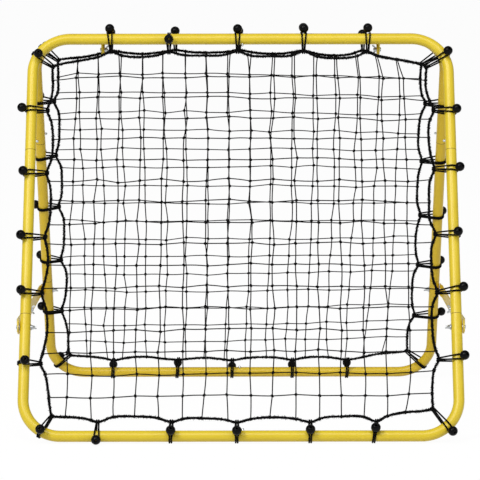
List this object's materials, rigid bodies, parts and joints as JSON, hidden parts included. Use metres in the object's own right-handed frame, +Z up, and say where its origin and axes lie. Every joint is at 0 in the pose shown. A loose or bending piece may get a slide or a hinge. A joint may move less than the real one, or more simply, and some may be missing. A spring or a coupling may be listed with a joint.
{
  "type": "pitch back rebounder",
  "caption": "Free-standing double-sided rebound net: two round-cornered tube frames hinged as an A, each with a square-mesh net held by ball bungees, and folding brace bars.",
  "frame": {"origin": "on the floor, at the centre of the object's footprint", "axes": "+X to the right across both frames, -Y towards the front net, +Z up"},
  "size_m": [1.0381, 0.9459, 0.9204],
  "materials": {
    "yellow_paint": "gloss powder coat",
    "net_twine": "knotted twine",
    "border_rope": "twisted rope",
    "elastic_cord": "woven elastic cord",
    "black_plastic": "smooth, half gloss",
    "zinc_steel": "zinc plated",
    "spring_steel": "spring strip"
  },
  "bodies": {
    "front_frame": {"front_left_upper_corner_tube": "yellow_paint", "front_left_lower_corner_tube": "yellow_paint", "front_left_post": "yellow_paint", "front_left_hinge_ear": "yellow_paint", "front_right_upper_corner_tube": "yellow_paint", "front_right_lower_corner_tube": "yellow_paint", "front_right_post": "yellow_paint", "front_right_hinge_ear": "yellow_paint", "front_net": "net_twine", "front_border_rope": "border_rope", "front_bungee_cords": "elastic_cord", "front_foot_bungee_cords": "elastic_cord", "front_bungee_balls": "black_plastic", "front_brace_bolts": "zinc_steel", "front_brace_washers": "zinc_steel", "front_button_clips": "spring_steel", "hinge_bolts": "zinc_steel"},
    "rear_frame": {"rear_left_upper_corner_tube": "yellow_paint", "rear_left_lower_corner_tube": "yellow_paint", "rear_left_post": "yellow_paint", "rear_left_hinge_ear": "yellow_paint", "rear_right_upper_corner_tube": "yellow_paint", "rear_right_lower_corner_tube": "yellow_paint", "rear_right_post": "yellow_paint", "rear_right_hinge_ear": "yellow_paint", "rear_net": "net_twine", "rear_border_rope": "border_rope", "rear_bungee_cords": "elastic_cord", "rear_foot_bungee_cords": "elastic_cord", "rear_bungee_balls": "black_plastic", "rear_brace_bolts": "zinc_steel", "rear_brace_washers": "zinc_steel", "rear_button_clips": "spring_steel"},
    "left_front_brace": {"left_front_brace": "yellow_paint", "left_knee_bolt_head": "zinc_steel"},
    "left_rear_brace": {"left_rear_brace": "yellow_paint", "left_knee_bolt_stud": "zinc_steel"},
    "right_front_brace": {"right_front_brace": "yellow_paint", "right_knee_bolt_head": "zinc_steel"},
    "right_rear_brace": {"right_rear_brace": "yellow_paint", "right_knee_bolt_stud": "zinc_steel"},
    "left_hinge_wing_nut": {"left_hinge_wing_nut": "zinc_steel"},
    "front_left_brace_wing_nut": {"front_left_brace_wing_nut": "zinc_steel"},
    "rear_left_brace_wing_nut": {"rear_left_brace_wing_nut": "zinc_steel"},
    "left_knee_wing_nut": {"left_knee_wing_nut": "zinc_steel"},
    "right_hinge_wing_nut": {"right_hinge_wing_nut": "zinc_steel"},
    "front_right_brace_wing_nut": {"front_right_brace_wing_nut": "zinc_steel"},
    "rear_right_brace_wing_nut": {"rear_right_brace_wing_nut": "zinc_steel"},
    "right_knee_wing_nut": {"right_knee_wing_nut": "zinc_steel"},
    "front_left_post_button": {"front_left_post_button": "zinc_steel"},
    "front_right_post_button": {"front_right_post_button": "zinc_steel"},
    "front_top_bar_button": {"front_top_bar_button": "zinc_steel"},
    "front_bottom_bar_button": {"front_bottom_bar_button": "zinc_steel"},
    "rear_left_post_button": {"rear_left_post_button": "zinc_steel"},
    "rear_right_post_button": {"rear_right_post_button": "zinc_steel"},
    "rear_top_bar_button": {"rear_top_bar_button": "zinc_steel"},
    "rear_bottom_bar_button": {"rear_bottom_bar_button": "zinc_steel"}
  },
  "joints": [
    {"name": "fold", "type": "hinge", "parent": "front_frame", "child": "rear_frame", "pos_m": [0, 0, 0.85971], "axis": [-1, 0, 0], "range_deg": [0, 45.6]},
    {"name": "left_front_brace_pivot", "type": "hinge", "parent": "front_frame", "child": "left_front_brace", "pos_m": [-0.503, -0.32745, 0.24458], "axis": [1, 0, 0], "range_deg": [0, 57.1]},
    {"name": "left_rear_brace_pivot", "type": "hinge", "parent": "rear_frame", "child": "left_rear_brace", "pos_m": [-0.503, 0.32745, 0.24458], "axis": [-1, 0, 0], "range_deg": [0, 57.1]},
    {"name": "right_front_brace_pivot", "type": "hinge", "parent": "front_frame", "child": "right_front_brace", "pos_m": [0.503, -0.32745, 0.24458], "axis": [1, 0, 0], "range_deg": [0, 57.1]},
    {"name": "right_rear_brace_pivot", "type": "hinge", "parent": "rear_frame", "child": "right_rear_brace", "pos_m": [0.503, 0.32745, 0.24458], "axis": [-1, 0, 0], "range_deg": [0, 57.1]},
    {"name": "left_hinge_wing_nut_turn", "type": "hinge", "parent": "front_frame", "child": "left_hinge_wing_nut", "pos_m": [-0.3185, 0, 0.85971], "axis": [-1, 0, 0], "continuous": true},
    {"name": "front_left_brace_wing_nut_turn", "type": "hinge", "parent": "front_frame", "child": "front_left_brace_wing_nut", "pos_m": [-0.4703, -0.32745, 0.24458], "axis": [-1, 0, 0], "continuous": true},
    {"name": "rear_left_brace_wing_nut_turn", "type": "hinge", "parent": "rear_frame", "child": "rear_left_brace_wing_nut", "pos_m": [-0.4703, 0.32745, 0.24458], "axis": [-1, 0, 0], "continuous": true},
    {"name": "left_knee_wing_nut_turn", "type": "hinge", "parent": "left_rear_brace", "child": "left_knee_wing_nut", "pos_m": [-0.501, 0, 0.23958], "axis": [-1, 0, 0], "continuous": true},
    {"name": "right_hinge_wing_nut_turn", "type": "hinge", "parent": "front_frame", "child": "right_hinge_wing_nut", "pos_m": [0.3185, 0, 0.85971], "axis": [1, 0, 0], "continuous": true},
    {"name": "front_right_brace_wing_nut_turn", "type": "hinge", "parent": "front_frame", "child": "front_right_brace_wing_nut", "pos_m": [0.4703, -0.32745, 0.24458], "axis": [1, 0, 0], "continuous": true},
    {"name": "rear_right_brace_wing_nut_turn", "type": "hinge", "parent": "rear_frame", "child": "rear_right_brace_wing_nut", "pos_m": [0.4703, 0.32745, 0.24458], "axis": [1, 0, 0], "continuous": true},
    {"name": "right_knee_wing_nut_turn", "type": "hinge", "parent": "right_rear_brace", "child": "right_knee_wing_nut", "pos_m": [0.501, 0, 0.23958], "axis": [1, 0, 0], "continuous": true},
    {"name": "front_left_post_button_press", "type": "slide", "parent": "front_frame", "child": "front_left_post_button", "axis": [-1, 0, 0], "range_m": [0, 0.0068], "stiffness_N_per_m": 300, "deforming": ["front_button_clips"]},
    {"name": "front_right_post_button_press", "type": "slide", "parent": "front_frame", "child": "front_right_post_button", "axis": [1, 0, 0], "range_m": [0, 0.0068], "stiffness_N_per_m": 300, "deforming": ["front_button_clips"]},
    {"name": "front_top_bar_button_press", "type": "slide", "parent": "front_frame", "child": "front_top_bar_button", "axis": [0, 0.4352, 0.9003], "range_m": [0, 0.0068], "stiffness_N_per_m": 300, "deforming": ["front_button_clips"]},
    {"name": "front_bottom_bar_button_press", "type": "slide", "parent": "front_frame", "child": "front_bottom_bar_button", "axis": [0, -0.4352, -0.9003], "range_m": [0, 0.0068], "stiffness_N_per_m": 300, "deforming": ["front_button_clips"]},
    {"name": "rear_left_post_button_press", "type": "slide", "parent": "rear_frame", "child": "rear_left_post_button", "axis": [-1, 0, 0], "range_m": [0, 0.0068], "stiffness_N_per_m": 300, "deforming": ["rear_button_clips"]},
    {"name": "rear_right_post_button_press", "type": "slide", "parent": "rear_frame", "child": "rear_right_post_button", "axis": [1, 0, 0], "range_m": [0, 0.0068], "stiffness_N_per_m": 300, "deforming": ["rear_button_clips"]},
    {"name": "rear_top_bar_button_press", "type": "slide", "parent": "rear_frame", "child": "rear_top_bar_button", "axis": [0, -0.4352, 0.9003], "range_m": [0, 0.0068], "stiffness_N_per_m": 300, "deforming": ["rear_button_clips"]},
    {"name": "rear_bottom_bar_button_press", "type": "slide", "parent": "rear_frame", "child": "rear_bottom_bar_button", "axis": [0, 0.4352, -0.9003], "range_m": [0, 0.0068], "stiffness_N_per_m": 300, "deforming": ["rear_button_clips"]}
  ],
  "couplings": [
    {"joint": "left_front_brace_pivot", "follows": "fold", "ratio": 1.2477},
    {"joint": "left_rear_brace_pivot", "follows": "fold", "ratio": 1.2477},
    {"joint": "right_front_brace_pivot", "follows": "fold", "ratio": 1.2477},
    {"joint": "right_rear_brace_pivot", "follows": "fold", "ratio": 1.2477}
  ]
}
